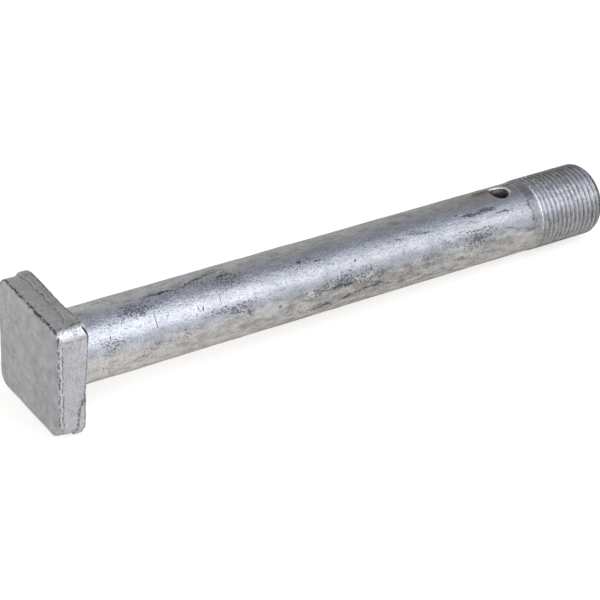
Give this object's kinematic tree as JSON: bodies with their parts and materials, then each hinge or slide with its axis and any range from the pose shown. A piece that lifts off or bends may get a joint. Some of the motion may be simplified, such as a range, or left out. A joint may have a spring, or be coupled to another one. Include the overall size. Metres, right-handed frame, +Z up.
{
  "type": "threaded guide pin",
  "caption": "Forged steel guide pin with a square head, a plain round shank, a drilled cross hole near its end and a fine-threaded tip; guides and locks parts that slide along it.",
  "frame": {"origin": "middle of the pin's underside as it lies at rest, on the surface that carries it", "axes": "+X along the pin in plan, from the head towards the threaded end; +Z up; the pin's axis lies in the XZ plane and drops towards +X by about 2 degrees"},
  "size_m": [0.173, 0.032, 0.032],
  "materials": {
    "zinc_steel": "hot-dip zinc coat, satin grey, worn and speckled over forging scale"
  },
  "bodies": {
    "root": {"guide_pin": "zinc_steel"}
  },
  "joints": []
}
